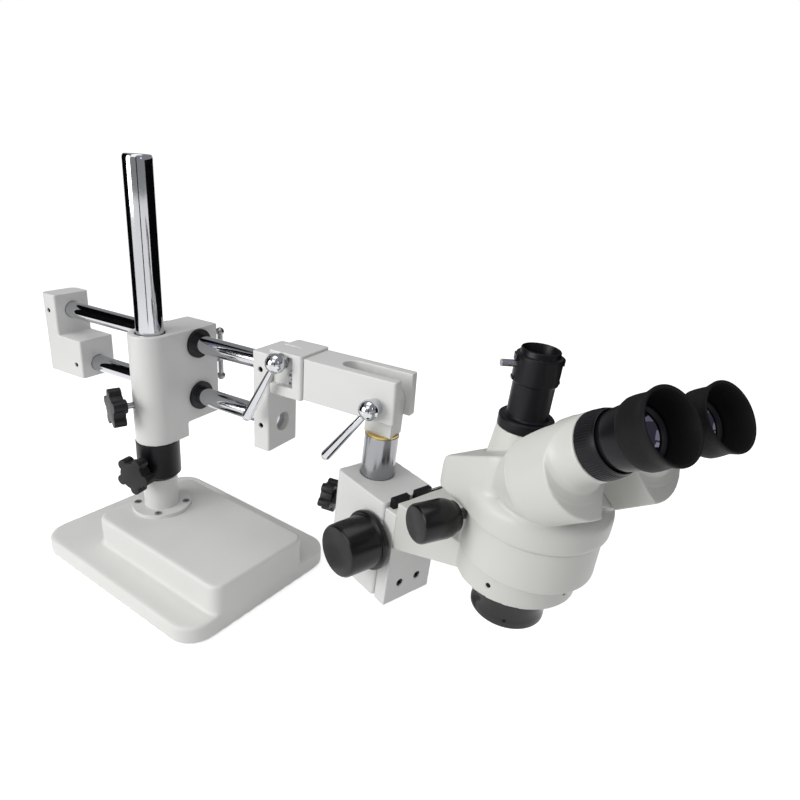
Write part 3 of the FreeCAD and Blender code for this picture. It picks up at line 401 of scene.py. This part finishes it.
# prism housings: the drum ends in a flat D face, and a bell neck rises from it to the eye tube
tubeAside = (-9.2, 4.5)  # the eye tube's axis beside the drum's, back and outward
housing = {
    "voxel": 0.65, "passes": 5,
    "face": 106.6, "radius": 29.8, "flat": 15.7, "turn": 24,
    "outlineSides": 160, "outlineLength": 40, "outlineMiddle": 120,
    "neckSides": 128,
    "neck": [(15.05, 104), (15.05, 135), (16.5, 135), (16.5, 126.6), (19.5, 126.5), (19.6, 119),
             (20.3, 114), (21.6, 110.5), (23.6, 108.2), (27, 107.2), (29, 107), (29, 104)],
}
for side, sign in (("left", -1), ("right", 1)):
    drumFrame = eyeFrame(sign)
    drum = trimmed(mergedCopy("prismCasting_" + side, "prism_housing_" + side),
                   drumFrame @ Vector((0, 0, mm(housing["face"]))), drumFrame.to_3x3() @ Vector((0, 0, 1)))
    neck = turnedPiece("neck", housing["neck"], sides=housing["neckSides"], rounding=0)
    placed(neck, shift(tubeAside[0], tubeAside[1] * sign, 0))
    bpy.ops.object.select_all(action="DESELECT")
    bpy.ops.mesh.primitive_cylinder_add(
        vertices=housing["outlineSides"], radius=mm(housing["radius"]), depth=mm(housing["outlineLength"]),
        location=(0, 0, mm(housing["outlineMiddle"])))
    outline = bpy.context.object
    placed(outline, outline.matrix_world.copy())
    slant = math.radians(housing["turn"])
    inward = Vector((math.sin(slant), -sign * math.cos(slant), 0))
    trimmed(outline, inward * mm(housing["flat"]), inward)
    useModifier(neck, "BOOLEAN", object=outline, operation="INTERSECT", solver="EXACT")
    bpy.data.objects.remove(outline)
    placed(neck, drumFrame)
    pickOnly(drum)
    neck.select_set(True)
    bpy.ops.object.join()
    # the prism housings take the darker head white, a painted shade
    fit(softened(drum, housing), unturned, "shadedHeadPaint", nodes["prism_housing_" + side]["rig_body"],
        "white_light_alloy", "prism_housing_" + side)
print("prism housings made")

# outward along the eye tube; the left one is screwed out for its dioptre setting
eyeSettings = {
    "left": {"side": -1, "out": 5.5, "ringEnd": 140.4},
    "right": {"side": 1, "out": -5.5, "ringEnd": 134.6},
}
# profiles are radius and level, the barrel's and the cup's levels above their own shoulders
eyeRing = {"sides": 152, "rounding": 0.22, "flutes": 76, "fluteDepth": 0.34, "fluteLow": 127.9}
eyeBarrel = {
    "sides": 112, "rounding": 0.3, "shoulder": 141.3,
    "inTube": [(11.9, 122.2), (15.0, 122.2), (15.0, 136.4), (16.2, 136.4)],
    "outside": [(16.2, -4.6), (16.9, -3.9), (17.3, 1), (17.3, 8.4), (16.8, 9), (15.3, 9), (15.3, 11.5),
                (14.2, 11.7), (12.0, 10.2)],
}
eyeCup = {
    "sides": 112, "rounding": 0.4, "shoulder": 149.2,
    "profile": [(17.35, 0), (17.9, 0), (19.0, 0.9), (19.6, 2.6), (19.7, 5), (19.5, 8.5), (19.2, 12),
                (19.4, 14.5), (20.1, 17.2), (20.5, 19), (20.4, 20), (19.7, 20.3), (18.8, 19.7), (18.0, 16),
                (16.9, 10), (16.0, 5.6), (15.6, 4.6), (15.6, 2.6), (17.35, 2.4)],
}
# a long eye relief lens, hollow in front
eyeLens = {
    "sides": 64, "hollow": 16, "centre": 21, "edge": [(11.7, 3), (11.75, 9.5)],
    "radii": (11.2, 10.6, 10, 9.3, 8.6, 7.8, 7, 5.2, 3.4, 1.7, 0.4),
}


def lifted(profile, level):
    return [(radius, level + above) for radius, above in profile]


for side, eye in eyeSettings.items():
    along = eyeFrame(eye["side"]) @ shift(tubeAside[0], tubeAside[1] * eye["side"], 0)
    end = eye["ringEnd"]
    ring = turnedPiece("dioptreRing_" + side, [
        (17.2, end - 5), (16.7, end - 5.5), (16.7, 126.9), (18.8, 126.9), (19.4, 127.6), (19.4, 130.4),
        (18.9, end - 4.6), (18.2, end - 2), (17.7, end - 0.4), (17.2, end)],
        sides=eyeRing["sides"], rounding=eyeRing["rounding"])
    fluted(ring, eyeRing["fluteLow"], end - 1.8, eyeRing["flutes"], eyeRing["fluteDepth"])
    fit(ring, along, "anodised", "dioptre_" + side, "black_anodised", "dioptre_ring_" + side)

    shoulder = eyeBarrel["shoulder"] + eye["out"]
    outline = eyeBarrel["inTube"] + lifted(eyeBarrel["outside"], shoulder)
    barrel = turnedPiece("eyepieceBarrel_" + side, outline, eyeBarrel["sides"], eyeBarrel["rounding"])
    fit(barrel, along, "anodised", "ocular_" + side, "black_anodised", "eyepiece_" + side)

    cup = turnedPiece("rubberCup_" + side, lifted(eyeCup["profile"], eyeCup["shoulder"] + eye["out"]),
                      sides=eyeCup["sides"], rounding=eyeCup["rounding"])
    fit(cup, along, "rubber", "ocular_" + side, "soft_rubber", "eyecup_" + side)

    # from the rim down into the hollow, which is part of a ball
    dish = [(radius, eyeLens["centre"] - math.sqrt(eyeLens["hollow"] ** 2 - radius ** 2))
            for radius in eyeLens["radii"]]
    lens = turnedPiece("eyeLens_" + side, lifted(eyeLens["edge"] + dish, shoulder),
                       sides=eyeLens["sides"], rounding=0, closed=False)
    fit(lens, along, "lens", nodes["eye_lens_" + side]["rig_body"], "coated_glass", "eye_lens_" + side)
print("eyepieces made")

# turned knobs, each along its own shaft: the focus pair on the pinion, the zoom pair on the head
knobSettings = {
    "focus_knob_": {"place": focusFrame @ shift(35, 0, -109) @ turn("X", 90), "sides": 128, "rounding": 0.5,
                    "profile": [(4.15, 62), (4.15, 30.2), (25, 30), (26, 31), (26, 34.6), (25, 36),
                                (22.9, 36), (22.5, 62.6), (21.3, 64.6), (19.8, 65)]},
    "zoom_knob_": {"place": headFrame @ shift(-21, 0, 24) @ turn("X", 90), "sides": 96, "rounding": 0.5,
                   "profile": [(4.2, 75), (4.2, 47), (10, 47), (11, 48), (11.4, 50.4), (12.4, 52),
                               (13.5, 54.6), (14.1, 58), (13.7, 77), (13, 78.6), (11.8, 79)]},
}
for side, mirror in (("left", unturned), ("right", turn("X", 180))):
    for kind in ("focus_knob_", "zoom_knob_"):
        knob = knobSettings[kind]
        shape = turnedPiece("turned_" + kind + side, knob["profile"], knob["sides"], knob["rounding"],
                            closed=False)
        fit(shape, knob["place"] @ mirror, "glossAbs", nodes[kind + side]["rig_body"], "black_plastic",
            kind + side)

starSettings = {"width": 0.9, "segments": 3, "flatter": 0.6, "sharper": 40, "clamp": True}
for knob, body in (("carriage_knob", "carriage_clamp"), ("collar_knob", "collar_clamp"),
                   ("focus_clamp_knob", "focus_clamp")):
    fit(roundedCopy("star_" + knob, knob, starSettings), unturned, "blackAbs", body, "black_plastic", knob)
print("knobs made")

# photo tube with its clamp collar, which has two lugs at its rim and two at its foot
photoTube = {
    "sides": 120, "rounding": 0.25, "back": -21.5, "lugs": (59, 239),
    "rimLug": {"low": 133.2, "high": 137.2, "width": 30, "height": 0.9},
    "footLug": {"low": 119.8, "high": 121.3, "width": 24, "height": 0.6},
    "profile": [(11.6, 86), (19.2, 86), (19.2, 93), (18.2, 94), (15.2, 94), (14.3, 95.2), (14.3, 118.6),
                (15.3, 119), (15.8, 119.6), (15.8, 121.5), (15.8, 133), (15.8, 137.4), (15.2, 138),
                (13.5, 138.2), (13.3, 141.4), (12.9, 142), (12.3, 142), (12.1, 140.6), (11.6, 139.8)],
}
tube = turnedPiece("photoTubeTurned", photoTube["profile"], photoTube["sides"], photoTube["rounding"])
for angle in photoTube["lugs"]:
    lugged(tube, angle=angle, **photoTube["rimLug"])
    lugged(tube, angle=angle, **photoTube["footLug"])
fit(tube, headFrame @ shift(photoTube["back"], 0, 0), "anodised", nodes["photo_tube"]["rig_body"],
    "black_anodised", "photo_tube")

postBar = {"sides": 128, "rounding": 0.2,
           "profile": [(11.7, 49.02), (12.7, 50), (12.7, 390.5), (12.5, 392.6), (12.0, 394.2), (11.2, 395)]}
bar = turnedPiece("postBar", postBar["profile"], postBar["sides"], postBar["rounding"], closed=False)
fit(bar, unturned, "chrome", nodes["post"]["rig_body"], "polished_chrome", "post")

objectiveRing = {"sides": 128, "rounding": 0.3,
                 "profile": [(18, -19), (26, -19), (26, -20), (25.2, -26), (24.9, -33), (25.3, -40),
                             (26.2, -45.4), (27, -47), (27, -50), (26.3, -51), (21.6, -51), (20.6, -50.2),
                             (20, -43), (18, -42.9)]}
ring = turnedPiece("objectiveRingTurned", objectiveRing["profile"], objectiveRing["sides"],
                   objectiveRing["rounding"])
fit(ring, headFrame, "glossBlack", nodes["objective_ring"]["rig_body"], "black_anodised", "objective_ring")
print("tube and objective ring made")

# the camera was fitted to the photo's straight edges
cameraSettings = {"location": (0.48348, -0.40123, 0.41433), "turned": (68.603, -4.134, 29.346),
                  "lens": 28.72, "sensor": 36, "near": 0.01, "far": 60}
bpy.ops.object.select_all(action="DESELECT")
bpy.ops.object.camera_add(location=cameraSettings["location"],
                          rotation=tuple(math.radians(angle) for angle in cameraSettings["turned"]))
camera = bpy.context.object
camera.name = "photoCamera"
camera.data.sensor_width = cameraSettings["sensor"]
camera.data.lens = cameraSettings["lens"]
camera.data.clip_start = cameraSettings["near"]
camera.data.clip_end = cameraSettings["far"]
bpy.context.scene.camera = camera

# softboxes round the stand, with places in metres and power in watts
lampAim = Vector((0.15, 0, 0.2))
lampSize = 1.4
lamps = [
    {"name": "keyBox", "place": (-0.9, -2.0, 0.9), "power": 34.5},
    {"name": "zenithBox", "place": (0.1, 0.0, 2.3), "power": 11},
    {"name": "overBox", "place": (0.5, -1.6, 1.9), "power": 8},
]
for lamp in lamps:
    turned = (lampAim - Vector(lamp["place"])).to_track_quat("-Z", "Y").to_euler()
    bpy.ops.object.light_add(type="AREA", location=lamp["place"], rotation=turned)
    light = bpy.context.object
    light.name = lamp["name"]
    light.data.shape = "SQUARE"
    light.data.size = lampSize
    light.data.energy = lamp["power"]

# the room lights the object softly, and is plain white where the camera sees it
world = bpy.data.worlds.new("white studio")
bpy.context.scene.world = world
tree = bare(world)
seen = addNode(tree, "ShaderNodeLightPath").outputs["Is Camera Ray"]
room = addNode(tree, "ShaderNodeBackground", {"Color": linear("E8EAEC"), "Strength": 0.35})
white = addNode(tree, "ShaderNodeBackground", {"Color": (1, 1, 1, 1), "Strength": 1.0})
chosen = addNode(tree, "ShaderNodeMixShader", None,
                 {0: seen, 1: room.outputs[0], 2: white.outputs[0]})
addNode(tree, "ShaderNodeOutputWorld", None, {"Surface": chosen.outputs[0]})

# the floor takes the shadow, is lifted to the paper's white where it is seen, and fades to plain
# white away from the object
floorSettings = {"size": 40, "lift": 0.62, "fade": {"From Min": 0.55, "From Max": 1.5}, "farWhite": 1.02}
paper = bpy.data.materials.new("white background paper")
tree = bare(paper)
path = addNode(tree, "ShaderNodeLightPath")
seen = addNode(tree, "ShaderNodeMath", None,
               {0: path.outputs["Is Camera Ray"], 1: path.outputs["Is Glossy Ray"]},
               operation="MAXIMUM").outputs[0]
place = addNode(tree, "ShaderNodeTexCoord").outputs["Object"]
away = addNode(tree, "ShaderNodeVectorMath", None, {0: place}, operation="LENGTH").outputs["Value"]
far = addNode(tree, "ShaderNodeMapRange", floorSettings["fade"], {"Value": away},
              interpolation_type="SMOOTHSTEP").outputs["Result"]
shownWhite = addNode(tree, "ShaderNodeMath", None, {0: far, 1: seen}, operation="MULTIPLY").outputs[0]
lit = addNode(tree, "ShaderNodeBsdfDiffuse", {"Color": linear("F0F0F0"), "Roughness": 0.9})
raised = addNode(tree, "ShaderNodeMapRange", {"To Max": floorSettings["lift"]},
                 {"Value": seen}).outputs["Result"]
lift = addNode(tree, "ShaderNodeEmission", {"Color": (1, 1, 1, 1)}, {"Strength": raised})
both = addNode(tree, "ShaderNodeAddShader", None, {0: lit.outputs[0], 1: lift.outputs[0]})
blank = addNode(tree, "ShaderNodeEmission", {"Color": (1, 1, 1, 1), "Strength": floorSettings["farWhite"]})
paperMix = addNode(tree, "ShaderNodeMixShader", None,
                   {0: shownWhite, 1: both.outputs[0], 2: blank.outputs[0]})
addNode(tree, "ShaderNodeOutputMaterial", None, {"Surface": paperMix.outputs[0]})
bpy.ops.mesh.primitive_plane_add(size=floorSettings["size"], location=(0, 0, 0))
floor = bpy.context.object
floor.name = "studioFloor"
floor.data.materials.append(paper)

# dark cards and a small window pane that only shiny surfaces mirror, as round a studio table; the
# pane gives the eye lenses their glint
cardPaint = bpy.data.materials.new("black card")
tree = bare(cardPaint)
matte = addNode(tree, "ShaderNodeBsdfDiffuse", {"Color": linear("0C0C0E")})
addNode(tree, "ShaderNodeOutputMaterial", None, {"Surface": matte.outputs[0]})

daylight = bpy.data.materials.new("window light")
tree = bare(daylight)
glow = addNode(tree, "ShaderNodeEmission", {"Color": linear("AEB8FF"), "Strength": 4.5})
addNode(tree, "ShaderNodeOutputMaterial", None, {"Surface": glow.outputs[0]})

paneSettings = {"place": (1.178, -0.237, 0.801), "faces": (0.453, -0.085, 0.29)}
paneTurn = (Vector(paneSettings["faces"]) - Vector(paneSettings["place"])).to_track_quat("Z", "Y").to_euler()
upright = math.radians(90)
cards = [
    {"name": "leftCard", "place": (-0.62, -0.32, 0.55), "size": (0.95, 1.1),
     "turned": (upright, 0, math.radians(90)), "material": cardPaint},
    {"name": "backCard", "place": (0.37, 0.6, 0.24), "size": (1.62, 0.48),
     "turned": (upright, 0, math.radians(-27)), "material": cardPaint},
    {"name": "cameraCard", "place": (0.58, -0.69, 0.4), "size": (0.11, 0.8),
     "turned": (upright, 0, math.radians(40)), "material": cardPaint},
    {"name": "windowPane", "place": paneSettings["place"], "size": (0.12, 0.36),
     "turned": paneTurn, "material": daylight},
]
for card in cards:
    bpy.ops.mesh.primitive_plane_add(size=1, location=card["place"], rotation=card["turned"])
    panel = bpy.context.object
    panel.name = card["name"]
    panel.scale = (*card["size"], 1)
    bpy.ops.object.transform_apply(location=False, rotation=False, scale=True)
    panel.data.materials.append(card["material"])
    panel.visible_camera = False
    panel.visible_diffuse = False
    panel.visible_shadow = False
bpy.context.scene.view_settings.view_transform = "Standard"
print("stage set")
